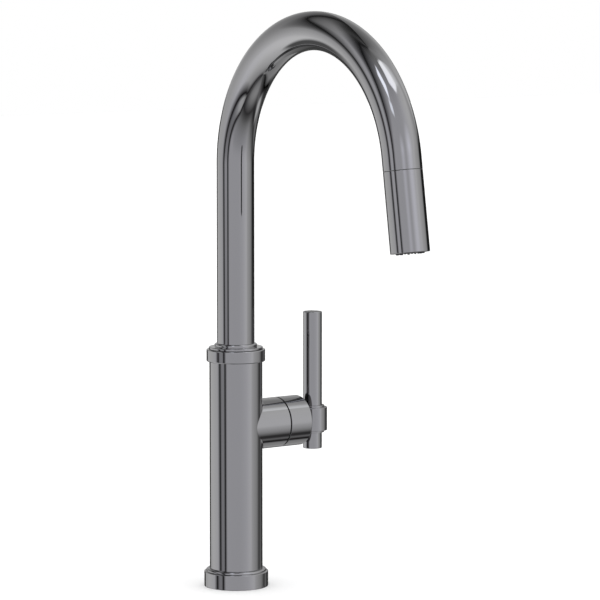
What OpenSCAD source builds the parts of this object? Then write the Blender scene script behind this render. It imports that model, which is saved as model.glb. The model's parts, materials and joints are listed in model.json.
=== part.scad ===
// Pull-down kitchen faucet: a straight column with a side lever, an arched swivel spout and a pull-down wand.
// Frame: origin on the column's axis at the deck face, +Z up, spout toward -Y, lever toward +X. Millimetres.

/* [Column] */
// Outer diameter of the column
column_d = 42.5; // [40:0.5:46]
// Height of the column's top edge, under the collar ring
column_top = 182.2; // [178:0.5:200]
// Wall thickness of the column
column_wall = 2.75; // [2.5:0.05:2.9]

/* [Base flange] */
// Outer diameter of the flange
flange_d = 51.5; // [50:0.5:60]
// Height of the flange's straight wall
flange_wall_h = 12; // [10:0.5:14]
// Outer diameter of the flange's stepped shoulder
shoulder_d = 48.4; // [47:0.1:48.6]
// Height of the top of the shoulder
shoulder_top = 14.4; // [14.2:0.1:16]

/* [Collar] */
// Outer diameter of the collar ring
collar_d = 47; // [46.5:0.5:52]
// Height of the collar ring
collar_h = 9.8; // [9:0.1:12]
// Outer diameter of the step ring that turns with the spout
step_d = 43.2; // [42:0.1:44]
// Outer diameter of the bead around the foot of the spout tube
bead_d = 34; // [33:0.5:36]

/* [Spout] */
// Outer diameter of the spout tube and the wand
tube_d = 30; // [29.5:0.1:30.5]
// Wall thickness of the spout tube
tube_wall = 1.2; // [1:0.1:1.4]
// Height at which the arch begins
arc_start_z = 341; // [320:1:380]
// Radius of the arch, measured to the middle of the tube
arc_r = 107.5; // [100:0.5:120]
// Angle that the arch turns through
arc_sweep = 171.4; // [165:0.1:178]

/* [Wand] */
// Distance from the end of the arch to the seam above the wand
seam_at = 10.4; // [10:0.1:14]
// Distance from the end of the arch to the wand's lower rim
wand_tip_at = 71.9; // [70:0.1:74]

/* [Handle] */
// Height of the lever hub's axis above the deck
boss_z = 129.4; // [125:0.1:135]
// Outer diameter of the boss and the hub
boss_d = 40.6; // [40:0.1:41]
// Distance from the column's axis to the groove between boss and hub
groove_at = 40.4; // [40:0.1:41]
// Width of the groove
groove_w = 0.8; // [0.6:0.1:1]
// Distance from the column's axis to the hub's end face
hub_end = 61.4; // [61:0.1:63]
// Distance from the column's axis to the lever rod's axis
rod_at = 76.6; // [76:0.1:79]
// Diameter of the lever rod
rod_d = 15.4; // [14:0.1:16]
// Height of the rod's lower end
rod_low = 105.1; // [100:0.1:108]
// Height of the rod's upper end
rod_high = 217.1; // [200:0.1:240]

/* [Deck] */
// Thickness of the deck that the faucet clamps
deck_t = 30; // [20:1:36]
// Outer diameter of the threaded shank
shank_d = 32; // [31:0.1:32]
// How far the shank reaches below the deck's top face
shank_len = 62; // [60:1:80]

/* [Hidden] */
$fn = 96;

gap = 0.3;               // clearance between pieces that move past each other
fit = 0.05;              // clearance between pieces that are held together
run = 0.05;              // radial clearance of a running fit
past = 1;                // how far a cutter reaches past the face that it opens

column_r = column_d / 2;
bore_r = column_r - column_wall;
column_low = 1.7;        // the column's lower end, on the shank's shoulder
column_floor = 10;       // top of the floor that closes the column around the shank
shank_top = 10;          // top of the shank's spigot, inside the column
flange_bore_r = column_r + 0.15;
gasket_t = 1.5;
gasket_r = flange_d / 2 - 1.9;

collar_r = collar_d / 2;
collar_top = column_top + collar_h;
collar_lip_r = column_r - 0.25;
step_top = collar_top + 1.9;
bead_h = 2.8;
tube_r = tube_d / 2;
tube_bore_r = tube_r - tube_wall;
arc_end_y = -arc_r * (1 - cos(arc_sweep));
arc_end_z = arc_start_z + arc_r * sin(arc_sweep);

socket_low = collar_top - 6;        // lower end of the spout tube inside its base
spigot_low = column_top - 24.2;     // lower end of the spout base's spigot
spigot_r = 17;
spigot_bore_r = 13;
bushing_r = bore_r - fit;
lower_bushing = [column_top - 19.2, column_top - 12.2];
upper_bushing = [column_top - 4.2, column_top + 5.8];
seal_t = 1.8;
seal_heights = [column_top - 10.2, column_top - 7.2];
clip_t = 1;
clip_z = column_top - 21.2;

boss_r = boss_d / 2;
boss_bore_r = 16;
neck_r = 16.9;           // the boss's neck, which carries the hub's guide ring
neck_end = groove_at + 4;
hub_start = groove_at + groove_w;
hub_bore_r = 18.3;
hub_end_wall = 3;
pivot_at = 46;           // distance from the column's axis to the lever's tilt axis
slot_low = -4.8;         // middle of the hub slot's lower round end, from the hub's axis
slot_high = 0.4;         // middle of its upper round end

cartridge_r = 12.5;
cartridge_wall = 2;
cartridge_start = 16;
cartridge_shoulder = 34;
shoulder_t = 4;
cartridge_end = 43.5;
throat_r = 7.2;          // opening that the stem swings in
disc_at = 19;
disc_t = 3;
carrier_r = 9.6;
carrier_t = 6.3;
carrier_slot = [15.2, 5, 5];
seat_r = 2;
seat_y = 6.5;
seat_z = 6;
seat_circle = 5.5;       // radius of the circle that the disc's three ports lie on
bonnet_hex_r = 17.6;
bonnet_bore_r = 10.4;

port_r = 3.5;            // supply and outlet hose threads, M8
port_depth = 17.6;
port_x = 10.8;
port_y = 9;
manifold_start = 7;      // distance from the column's axis to the manifold's near face
manifold_end = 15.5;
manifold_low = boss_z - 21;
manifold_high = boss_z + 18;

ball_r = 5.5;
pin_r = 2.2;
pin_end = 25.3;          // inner end of the stem's drive pin
stem_w = 7;
stem_l = 14;
arm_r = 6.5;
arm_start = 51;
arm_socket_l = 9.2;
set_screw_r = 1.5;
grub_r = 2;
collar_barrel_r = 11.9;
collar_barrel_h = 18.9;
collar_end_r = 9.6;
collar_total_h = 22.2;
rod_r = rod_d / 2;

shank_r = shank_d / 2;
shank_bore_r = 13;
thread_h = 0.8;
thread_pitch = 2;
pilot_l = 12;            // plain end below the shank's thread
root_r = shank_r - thread_h;
spigot_foot_r = shank_r - 1;
washer_r = 26;
washer_t = 2.5;
plate_r = 27;
plate_t = 2;
plate_top = -deck_t - washer_t - 0.1;
nut_r = 27;
nut_h = 9;
nut_low = -deck_t - 16;
jack_y = 20.6;
jack_r = 2.5;
jack_l = 16.3;
jack_head_r = 4.2;
jack_head_h = 4;

hose_r = 5.5;
hose_end_z = 8 - shank_len;
coupling_low = -shank_len - 10;
dock_bore_r = 9;
neck_len = 18.4;         // how far the wand's neck stands up into the dock
wand_neck_r = 8.7;
wand_wall = 1.4;
wand_bore_r = tube_r - wand_wall;
water_r = 5;             // radius of the water way through the wand
magnet_r = 11.1;
face_at = 62;            // distance from the end of the arch to the back of the spray face
face_r = 11.5;           // raised middle of the spray face
face_proud = 1.1;        // how far the nozzles stand past the wand's rim
aerator_r = 5.4;
core_seal_at = face_at - 5;
button_at = 40;          // distance from the end of the arch to the middle of the button
button_l = 20;
button_w = 11;
button_back = tube_r - 4;
spring_r = 2.6;
spring_low = 7.6;        // distance from the wand's axis to the spring's first turn
spring_pitch = 0.8;
spring_turns = 3;
nozzle_r = 0.85;
nozzle_rings = [[6, 7.7], [12, 10.1]];  // how many nozzles, and the radius that they lie on

gunmetal = [0.26, 0.258, 0.275];

// A ring around Z from z0 to z1, or a solid bar where inner_r is 0.
module ring(outer_r, inner_r, z0, z1) {
    translate([0, 0, z0])
        difference() {
            cylinder(r = outer_r, h = z1 - z0);
            if (inner_r > 0)
                translate([0, 0, -past])
                    cylinder(r = inner_r, h = z1 - z0 + 2 * past);
        }
}

// Half of a turned profile with rounded outer corners: from inner_r to outer_r, z0 to z1.
module rounded_band(outer_r, inner_r, z0, z1, low_round, high_round) {
    intersection() {
        translate([inner_r, z0])
            square([outer_r - inner_r, z1 - z0]);
        union() {
            translate([inner_r, z0 + low_round])
                square([outer_r - inner_r, z1 - z0 - low_round - high_round]);
            translate([inner_r, z0])
                square([outer_r - inner_r - max(low_round, high_round), z1 - z0]);
            if (low_round > 0)
                translate([outer_r - low_round, z0 + low_round])
                    circle(r = low_round, $fn = 32);
            if (high_round > 0)
                translate([outer_r - high_round, z1 - high_round])
                    circle(r = high_round, $fn = 32);
        }
    }
}

// A turned ring with rounded outer edges.
module soft_ring(outer_r, inner_r, z0, z1, low_round, high_round) {
    rotate_extrude()
        rounded_band(outer_r, inner_r, z0, z1, low_round, high_round);
}

// Places children along +X at the height of the boss, with local Z pointing out.
module on_boss(x = 0) {
    translate([x, 0, boss_z])
        rotate([0, 90, 0])
            children();
}

// Places children on the wand's axis: local Z runs down out of the spout, local Y points away from the column.
module on_wand(along = 0) {
    translate([0, arc_end_y, arc_end_z])
        rotate([arc_sweep, 0, 0])
            translate([0, 0, along])
                children();
}

// Places children at the wand's button: local Z points out through the wand's wall, toward the column.
module on_button() {
    on_wand(button_at)
        rotate([90, 0, 0])
            children();
}

// The spout's centre line as a tube, up the riser and round the arch. A bar where inner_r is 0.
module spout_path(outer_r, inner_r, riser_low) {
    union() {
        ring(outer_r, inner_r, riser_low, arc_start_z);
        translate([0, -arc_r, arc_start_z])
            rotate([0, 90, 0])
                rotate([0, 0, 90])
                    rotate_extrude(angle = arc_sweep)
                        translate([arc_r, 0])
                            difference() {
                                circle(r = outer_r);
                                if (inner_r > 0)
                                    circle(r = inner_r);
                            }
    }
}

// ---- fixing ----

module base_flange() {
    color(gunmetal)
        difference() {
            union() {
                soft_ring(flange_d / 2, flange_bore_r, 0, flange_wall_h, 0.4, 0.6);
                soft_ring(shoulder_d / 2 + 0.8, flange_bore_r, flange_wall_h - 1, flange_wall_h + 0.4, 0, 0.2);
                soft_ring(shoulder_d / 2, flange_bore_r, flange_wall_h - 1, shoulder_top, 0, 1.5);
            }
            ring(gasket_r + 3 * fit, 0, -past, gasket_t + 0.1);
        }
}
module base_gasket() {
    color("black")
        ring(gasket_r, shank_r + gap, 0, gasket_t);
}
module column_body() {
    color(gunmetal)
        difference() {
            union() {
                ring(column_r, 0, column_low, column_top);
                ring(collar_lip_r, 0, column_top - 1, column_top + collar_h - 3);
                on_boss()
                    cylinder(r = boss_r, h = groove_at);
                on_boss()
                    cylinder(r = neck_r, h = neck_end);
            }
            ring(bore_r, 0, column_floor, collar_top + past);
            ring(spigot_foot_r + fit, 0, past, shank_top + past);
            on_boss()
                cylinder(r = boss_bore_r, h = neck_end + past);
        }
}
module threaded_shank() {
    color("goldenrod")
        difference() {
            union() {
                ring(shank_r, 0, -deck_t, 0);
                ring(spigot_foot_r, 0, -past, shank_top);
                ring(root_r, 0, -shank_len, -deck_t + past);
                for (z = [-shank_len + pilot_l:thread_pitch:-deck_t - thread_pitch])
                    translate([0, 0, z])
                        cylinder(r1 = root_r, r2 = shank_r, h = thread_h);
            }
            ring(shank_bore_r, 0, -shank_len - past, shank_top + past);
        }
}
module deck_washer() {
    color("black")
        ring(washer_r, shank_r + gap, -deck_t - washer_t, -deck_t);
}
module clamp_plate() {
    color("silver")
        ring(plate_r, shank_r + gap, plate_top - plate_t, plate_top);
}
module mounting_nut() {
    color("goldenrod")
        difference() {
            translate([0, 0, nut_low])
                cylinder(r = nut_r, h = nut_h, $fn = 6);
            ring(shank_r + run, 0, nut_low - past, nut_low + nut_h + past);
            for (side = [-1, 1])
                translate([0, side * jack_y, nut_low - past])
                    cylinder(r = jack_r + fit, h = nut_h + 2 * past);
        }
}
module jack_screws() {
    color("silver")
        for (side = [-1, 1])
            translate([0, side * jack_y, plate_top - plate_t - 0.1 - jack_l])
                union() {
                    cylinder(r = jack_r, h = jack_l);
                    translate([0, 0, 1 - jack_head_h])
                        cylinder(r = jack_head_r, h = jack_head_h, $fn = 6);
                }
}

// ---- valve ----

module valve_manifold() {
    color("goldenrod")
        difference() {
            intersection() {
                translate([manifold_start, -column_r, manifold_low])
                    cube([manifold_end - manifold_start, column_d, manifold_high - manifold_low]);
                cylinder(r = bore_r - fit, h = column_top);
            }
            for (y = [-port_y, 0, port_y])
                translate([port_x, y, manifold_low - past])
                    cylinder(r = port_r, h = port_depth + past);
            translate([port_x, 0, manifold_low + port_depth - past])
                cylinder(r = seat_r + 0.5, h = boss_z + seat_z + seat_r + 2 * past - manifold_low - port_depth);
            on_seats(port_x)
                cylinder(r = seat_r, h = manifold_end - port_x + past);
        }
}
// Places children at the cartridge's three water seats: two inlets below and the mixed outlet above.
module on_seats(x) {
    for (p = [[-seat_y, -seat_z], [seat_y, -seat_z], [0, seat_z]])
        translate([x, p[0], boss_z + p[1]])
            rotate([0, 90, 0])
                children();
}
module cartridge_body() {
    color("white")
        difference() {
            union() {
                on_boss(cartridge_start)
                    cylinder(r = cartridge_r, h = cartridge_shoulder - cartridge_start);
                on_boss(cartridge_shoulder - shoulder_t)
                    cylinder(r = boss_bore_r - 0.2, h = shoulder_t);
                on_boss(cartridge_shoulder - 1)
                    cylinder(r = throat_r + 2.3, h = cartridge_end - cartridge_shoulder + 1);
            }
            on_boss(disc_at)
                cylinder(r = cartridge_r - cartridge_wall, h = disc_t + carrier_t + 0.7);
            on_boss(disc_at + disc_t)
                cylinder(r = throat_r, h = cartridge_end);
            on_seats(cartridge_start - past)
                cylinder(r = seat_r, h = disc_at - cartridge_start + 3 * past);
        }
}
module cartridge_seals() {
    color("black")
        on_seats(cartridge_start - 0.45)
            ring(seat_r + 1.2, seat_r + 0.2, 0, 0.4);
}
module fixed_disc() {
    color("ivory")
        on_boss(disc_at + fit)
            difference() {
                cylinder(r = cartridge_r - cartridge_wall - 0.2, h = disc_t);
                for (a = [60, 180, 300])
                    rotate([0, 0, a])
                        translate([seat_circle, 0, -past])
                            cylinder(r = seat_r, h = disc_t + 2 * past);
            }
}
module moving_disc() {
    color("lightgray")
        on_boss(disc_at + disc_t + 2 * fit)
            difference() {
                cylinder(r = carrier_r, h = carrier_t);
                translate([-carrier_slot[0] / 2, -carrier_slot[1] / 2, 2.6])
                    cube(carrier_slot);
            }
}
module bonnet_nut() {
    color("goldenrod")
        difference() {
            union() {
                on_boss(cartridge_shoulder + 0.1)
                    cylinder(r = boss_bore_r - 0.1, h = neck_end - cartridge_shoulder + 1);
                on_boss(neck_end + 0.1)
                    cylinder(r = bonnet_hex_r, h = 4, $fn = 6);
            }
            on_boss(cartridge_shoulder - past)
                cylinder(r = bonnet_bore_r, h = hub_end - cartridge_shoulder);
        }
}
module hub_guide_ring() {
    color("ivory")
        on_boss()
            ring(hub_bore_r - run, neck_r + fit, hub_start + 0.2, neck_end - 0.2);
}
module handle_hub() {
    slot_r = arm_r + gap;
    color(gunmetal)
        difference() {
            on_boss()
                soft_ring(boss_r, 0, hub_start, hub_end, 0.35, 0.5);
            on_boss(hub_start - past)
                cylinder(r = hub_bore_r, h = hub_end - hub_end_wall - hub_start + past);
            translate([hub_end - hub_end_wall - 2, 0, boss_z]) {
                translate([0, -slot_r, slot_low])
                    cube([hub_end_wall + 3, 2 * slot_r, slot_high - slot_low]);
                for (z = [slot_low, slot_high])
                    translate([0, 0, z])
                        rotate([0, 90, 0])
                            cylinder(r = slot_r, h = hub_end_wall + 3);
            }
        }
}

// ---- lever ----

module cartridge_stem() {
    color("silver")
        union() {
            translate([pivot_at, 0, boss_z])
                sphere(r = ball_r);
            on_boss(pin_end)
                cylinder(r = pin_r, h = pivot_at - pin_end);
            translate([pivot_at, -stem_w / 2, boss_z - stem_w / 2])
                cube([stem_l, stem_w, stem_w]);
        }
}
module lever_arm() {
    socket_w = stem_w + 2 * fit;
    color(gunmetal)
        difference() {
            on_boss(arm_start + 1)
                cylinder(r = arm_r, h = rod_at - arm_start - 1);
            translate([arm_start, -socket_w / 2, boss_z - socket_w / 2])
                cube([arm_socket_l, socket_w, socket_w]);
            translate([rod_at, 0, boss_z - collar_barrel_h])
                cylinder(r = collar_barrel_r + fit, h = 2 * collar_barrel_h);
            translate([arm_start + 4, 0, boss_z - arm_r - past])
                cylinder(r = set_screw_r + fit, h = arm_r + past);
        }
}
module arm_set_screw() {
    color("dimgray")
        translate([arm_start + 4, 0, boss_z - arm_r + 0.1])
            cylinder(r = set_screw_r, h = 2.8);
}
module lever_collar() {
    half_barrel = collar_barrel_h / 2;
    half_total = collar_total_h / 2;
    color(gunmetal)
        difference() {
            translate([rod_at, 0, boss_z])
                union() {
                    soft_ring(collar_barrel_r, rod_r + fit, -half_barrel, half_barrel, 0.4, 0.4);
                    soft_ring(collar_end_r, rod_r + fit, -half_total, half_total, 0.25, 0.25);
                }
            on_boss(rod_at - collar_barrel_r - past)
                cylinder(r = grub_r + 2 * fit, h = 6);
        }
}
module rod_grub_screw() {
    color("dimgray")
        on_boss(rod_at - collar_barrel_r + 0.3)
            cylinder(r = grub_r, h = 5.4);
}
module lever_rod() {
    color(gunmetal)
        difference() {
            translate([rod_at, 0, 0])
                soft_ring(rod_r, 0, rod_low, rod_high, 0.4, 0.4);
            on_boss(rod_at - rod_r - 0.5)
                cylinder(r = grub_r + 2 * fit, h = 2.2);
        }
}

// ---- swivel ----

module swivel_bushing_lower() {
    color("ivory")
        ring(bushing_r, spigot_r + run, lower_bushing[0], lower_bushing[1]);
}
module swivel_bushing_upper() {
    color("ivory")
        ring(bushing_r, spigot_r + run, upper_bushing[0], upper_bushing[1]);
}
module swivel_seals() {
    color("black")
        for (z = seal_heights)
            ring(spigot_r + 0.9, spigot_r - 0.9, z, z + seal_t);
}
module retaining_clip() {
    color("silver")
        difference() {
            ring(spigot_r + 1.1, spigot_r - 0.95, clip_z, clip_z + clip_t);
            translate([12, -4, clip_z - past])
                cube([12, 8, clip_t + 2 * past]);
        }
}
module collar_ring() {
    color(gunmetal)
        difference() {
            soft_ring(collar_r, 0, column_top, collar_top, 0.8, 0.8);
            ring(collar_lip_r + fit, 0, column_top - past, collar_top - 2.5);
            ring(spigot_r + gap, 0, column_top - past, collar_top + past);
        }
}
module spout_base() {
    color(gunmetal)
        difference() {
            union() {
                soft_ring(step_d / 2, spigot_bore_r, collar_top + 0.15, step_top, 0, 0.5);
                soft_ring(bead_d / 2, spigot_bore_r, step_top - 0.5, step_top + bead_h, 0, 1.2);
                ring(spigot_r, spigot_bore_r, spigot_low, collar_top + 1);
            }
            ring(tube_r + fit, 0, socket_low, step_top + bead_h + past);
            for (z = seal_heights)
                ring(spigot_r + 1, spigot_r - 1, z - fit, z + seal_t + fit);
            ring(spigot_r + 1, spigot_r - 1, clip_z - fit, clip_z + clip_t + fit);
        }
}
module gooseneck_tube() {
    color(gunmetal)
        spout_path(tube_r, tube_bore_r, socket_low + 0.1);
}
module spout_end_sleeve() {
    color(gunmetal)
        on_wand()
            ring(tube_r, tube_bore_r, 0.005, seam_at - 0.2);
}

// ---- spray hose and dock ----

module hose_lower() {
    color("dimgray")
        ring(hose_r, 0, hose_end_z, collar_top);
}
module hose_coupling() {
    color("silver")
        difference() {
            union() {
                translate([0, 0, coupling_low + 8])
                    cylinder(r = 6, h = hose_end_z - coupling_low - 8.1, $fn = 6);
                ring(4.5, 0, coupling_low, coupling_low + 9);
            }
            ring(3, 0, coupling_low - past, coupling_low + 15);
        }
}
module hose_upper() {
    color("dimgray")
        difference() {
            spout_path(hose_r, 0, collar_top);
            on_wand()
                ring(dock_bore_r, 0, -neck_len - 6, neck_len);
        }
}
module dock_bush() {
    color("dimgray")
        on_wand()
            difference() {
                union() {
                    ring(tube_bore_r - 0.1, dock_bore_r, 2, seam_at - 0.3);
                    ring(12, dock_bore_r, -8, 3);
                }
                ring(tube_bore_r + 1, magnet_r - 0.1, 6, seam_at + past);
            }
}
module dock_magnet() {
    color("silver")
        on_wand()
            ring(tube_bore_r - 0.2, magnet_r, 6.1, seam_at - 0.4);
}
module hose_nut() {
    color("silver")
        on_wand(-neck_len - 5.8)
            difference() {
                union() {
                    cylinder(r = 7.8, h = 7, $fn = 6);
                    ring(hose_r, 0, 6, 12);
                }
                ring(3, 0, 4, 12 + past);
            }
}

// ---- wand ----

module wand_neck() {
    color("dimgray")
        on_wand()
            difference() {
                union() {
                    ring(wand_neck_r, 0, 2 - neck_len, 14);
                    ring(wand_bore_r - 0.1, 0, seam_at + 0.3, seam_at + 4.3);
                }
                ring(hose_r + 0.1, 0, -neck_len, -neck_len + 9);
                ring(water_r, 0, -10, seam_at + 10);
                ring(tube_r, 10.4, seam_at, seam_at + 1.9);
            }
}
module wand_dock_ring() {
    color("silver")
        on_wand()
            ring(wand_bore_r - 0.2, 10.5, seam_at + 0.2, seam_at + 1.8);
}
module check_valve() {
    color("ivory")
        on_wand()
            difference() {
                ring(water_r - 0.1, 0, 0, 9);
                ring(2.6, 0, -past, 7);
            }
}
module wand_core() {
    color("dimgray")
        on_wand()
            difference() {
                union() {
                    ring(10, 0, seam_at + 4.5, seam_at + 18.5);
                    ring(7.5, 0, seam_at + 10, face_at - 0.1);
                    ring(11.5, 0, face_at - 8, face_at - 0.1);
                }
                ring(water_r, 0, 5, face_at + past);
                ring(wand_neck_r + fit, 0, seam_at, seam_at + 12.2);
                ring(13, 10.1, core_seal_at - fit, core_seal_at + seal_t + fit);
                translate([0, 0, button_at])
                    rotate([90, 0, 0])
                        cylinder(r = 3.6, h = 12);
            }
}
module core_seals() {
    color("black")
        on_wand()
            ring(wand_bore_r - 0.15, 10.2, core_seal_at, core_seal_at + seal_t);
}
module wand_shell() {
    color(gunmetal)
        difference() {
            on_wand()
                rotate_extrude()
                    difference() {
                        translate([wand_bore_r, seam_at])
                            square([wand_wall, wand_tip_at - seam_at]);
                        translate([tube_r, seam_at])
                            circle(r = 0.25, $fn = 4);
                    }
            on_button()
                button_bar(button_l + 2 * gap, button_w + 2 * gap, 10, 8);
        }
}
// A bar with round ends along local Z, long in local Y, from height low up.
module button_bar(l, w, low, h) {
    translate([0, 0, low])
        linear_extrude(height = h)
            union() {
                square([w, l - w], center = true);
                for (end = [-1, 1])
                    translate([0, end * (l - w) / 2])
                        circle(r = w / 2);
            }
}
// Places children at each spray nozzle.
module on_nozzles() {
    for (row = nozzle_rings)
        for (i = [0:row[0] - 1])
            rotate([0, 0, 360 * i / row[0]])
                translate([row[1], 0, 0])
                    children();
}
module spray_face() {
    color("black")
        on_wand()
            difference() {
                union() {
                    ring(wand_bore_r - 0.1, 0, face_at, wand_tip_at - 1);
                    ring(face_r, 0, face_at, wand_tip_at + 0.3);
                }
                ring(aerator_r + 0.1, 0, face_at - past, wand_tip_at + 2 * past);
                on_nozzles()
                    translate([0, 0, face_at - past])
                        cylinder(r = nozzle_r + fit, h = 20, $fn = 24);
            }
}
module spray_nozzles() {
    color("dimgray")
        on_wand()
            on_nozzles()
                difference() {
                    translate([0, 0, face_at + 2])
                        cylinder(r = nozzle_r, h = wand_tip_at - face_at - 2 + face_proud, $fn = 24);
                    translate([0, 0, face_at + 1])
                        cylinder(r = 0.4, h = 14, $fn = 24);
                }
}
module aerator() {
    grid = [-3:2:3];
    color("silver")
        on_wand()
            difference() {
                ring(aerator_r, 0, face_at + 1, wand_tip_at);
                for (x = grid)
                    for (y = grid)
                        translate([x, y, face_at])
                            cylinder(r = 0.6, h = 14, $fn = 16);
            }
}
module spray_button() {
    color("dimgray")
        intersection() {
            on_button()
                button_bar(button_l, button_w, button_back, 5);
            on_wand()
                ring(tube_r + 0.5, 0, 0, wand_tip_at);
        }
}
module button_plunger() {
    color("ivory")
        on_button()
            union() {
                ring(1.6, 0, 5, button_back - 0.1);
                ring(4, 0, button_back - 1.1, button_back - 0.1);
            }
}
module button_spring() {
    color("silver")
        on_button()
            for (turn = [0:spring_turns - 1])
                rotate_extrude()
                    translate([spring_r, spring_low + spring_pitch * turn])
                        circle(r = 0.25, $fn = 16);
}

base_flange();
base_gasket();
column_body();
threaded_shank();
deck_washer();
clamp_plate();
mounting_nut();
jack_screws();
valve_manifold();
cartridge_body();
cartridge_seals();
fixed_disc();
moving_disc();
bonnet_nut();
hub_guide_ring();
handle_hub();
cartridge_stem();
lever_arm();
arm_set_screw();
rod_grub_screw();
lever_collar();
lever_rod();
swivel_bushing_lower();
swivel_bushing_upper();
swivel_seals();
retaining_clip();
collar_ring();
spout_base();
gooseneck_tube();
spout_end_sleeve();
hose_lower();
hose_coupling();
hose_upper();
dock_bush();
dock_magnet();
hose_nut();
wand_neck();
wand_dock_ring();
check_valve();
wand_core();
core_seals();
wand_shell();
spray_face();
spray_nozzles();
aerator();
spray_button();
button_plunger();
button_spring();
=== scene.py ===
"""Pull-down kitchen faucet: the looks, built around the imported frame. Lengths are in metres."""
import json
import math

import bpy
from mathutils import Matrix, Vector


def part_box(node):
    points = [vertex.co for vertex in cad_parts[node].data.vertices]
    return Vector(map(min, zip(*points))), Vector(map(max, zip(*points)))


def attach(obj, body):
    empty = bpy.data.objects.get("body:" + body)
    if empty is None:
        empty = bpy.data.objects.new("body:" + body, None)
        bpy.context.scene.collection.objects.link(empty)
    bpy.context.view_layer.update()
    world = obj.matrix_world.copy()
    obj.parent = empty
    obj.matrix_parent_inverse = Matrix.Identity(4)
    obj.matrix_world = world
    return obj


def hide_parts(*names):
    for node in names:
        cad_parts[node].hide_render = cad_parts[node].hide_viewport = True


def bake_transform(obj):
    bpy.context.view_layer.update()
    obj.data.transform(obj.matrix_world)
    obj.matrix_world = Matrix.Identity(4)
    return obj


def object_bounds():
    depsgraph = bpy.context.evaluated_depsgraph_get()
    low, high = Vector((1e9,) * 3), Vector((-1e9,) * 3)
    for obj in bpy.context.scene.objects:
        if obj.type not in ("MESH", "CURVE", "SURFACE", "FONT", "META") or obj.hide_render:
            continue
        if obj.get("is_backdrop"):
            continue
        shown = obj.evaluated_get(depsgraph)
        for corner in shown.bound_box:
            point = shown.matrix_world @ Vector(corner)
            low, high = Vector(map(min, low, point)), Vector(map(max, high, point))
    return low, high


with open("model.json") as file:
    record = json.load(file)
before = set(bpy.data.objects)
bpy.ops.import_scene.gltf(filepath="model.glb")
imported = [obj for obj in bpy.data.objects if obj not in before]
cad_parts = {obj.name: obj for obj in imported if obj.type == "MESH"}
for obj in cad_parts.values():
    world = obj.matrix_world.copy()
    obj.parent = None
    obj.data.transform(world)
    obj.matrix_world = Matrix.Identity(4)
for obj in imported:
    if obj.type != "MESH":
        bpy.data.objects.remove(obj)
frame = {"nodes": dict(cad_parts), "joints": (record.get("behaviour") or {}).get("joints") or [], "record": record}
cad_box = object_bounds()
MM = 0.001
scene = bpy.context.scene

# ---------- sizes, read from the frame


def low(node):
    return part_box(node)[0]


def high(node):
    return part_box(node)[1]


def joint(name):
    return next(j for j in frame["joints"] if j["name"] == name)


TUBE_R = (high("gooseneck_tube").x - low("gooseneck_tube").x) / 2
PULL = Vector(joint("wand_pull")["axis"])
SWEEP = math.atan2(-PULL.y, PULL.z)
# The arch's centre line leaves the column's axis, rises to ARC_TOP and turns by SWEEP into the wand's axis
ARC_TOP = high("gooseneck_tube").z - TUBE_R
WAND_MIDDLE = (low("wand_shell") + high("wand_shell")) / 2
ARC_R = (
    (WAND_MIDDLE.y * math.cos(SWEEP) + (WAND_MIDDLE.z - ARC_TOP) * math.sin(SWEEP))
    / (1 - math.cos(SWEEP) - math.sin(SWEEP))
)
ARC_Z = ARC_TOP - ARC_R
ARC_END = Vector((0, -ARC_R * (1 - math.cos(SWEEP)), ARC_Z + ARC_R * math.sin(SWEEP)))
COLUMN_R = -low("column_body").y
COLUMN_LOW = low("column_body").z
COLUMN_TOP = low("collar_ring").z
BOSS_Z = joint("handle_turn")["pos_m"][2]
BOSS_R = high("handle_hub").y
HUB_START = low("handle_hub").x
HUB_END = high("handle_hub").x
ROD_X = (low("lever_rod").x + high("lever_rod").x) / 2
ROD_R = high("lever_rod").y

# Places of the turned axes: local Z is the axis
UPRIGHT = Matrix.Identity(4)
BOSS_AXIS = Matrix.Translation((0, 0, BOSS_Z)) @ Matrix.Rotation(math.pi / 2, 4, "Y")
ROD_AXIS = Matrix.Translation((ROD_X, 0, 0))
WAND_AXIS = Matrix.Translation(ARC_END) @ Matrix.Rotation(SWEEP, 4, "X")


def along_wand(node):
    """Nearest and farthest distance of a CAD node from the end of the arch, along the wand's axis."""
    reach = [(v.co - ARC_END).dot(PULL) for v in frame["nodes"][node].data.vertices]
    return min(reach), max(reach)


# ---------- mesh helpers

# Directions in a turned skin, as (away from the axis, along the axis)
OUT, UP, DOWN, BACK = (1, 0), (0, 1), (0, -1), (-1, 0)


def full_turn(steps, start=0.0):
    return [start + 2 * math.pi * k / steps for k in range(steps)]


def around_z(angles):
    """Gives the point or normal at corner k of a ring, by its distance from the Z axis and its height."""
    return lambda k, away, along: Vector((away * math.cos(angles[k]), away * math.sin(angles[k]), along))


def around_x(angles):
    """The same about the X axis."""
    return lambda k, away, along: Vector((along, away * math.cos(angles[k]), away * math.sin(angles[k])))


def facing(ring, normal):
    """The ring's vertices, all with one normal."""
    return [(vertex, Vector(normal)) for vertex, _ in ring]


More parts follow.
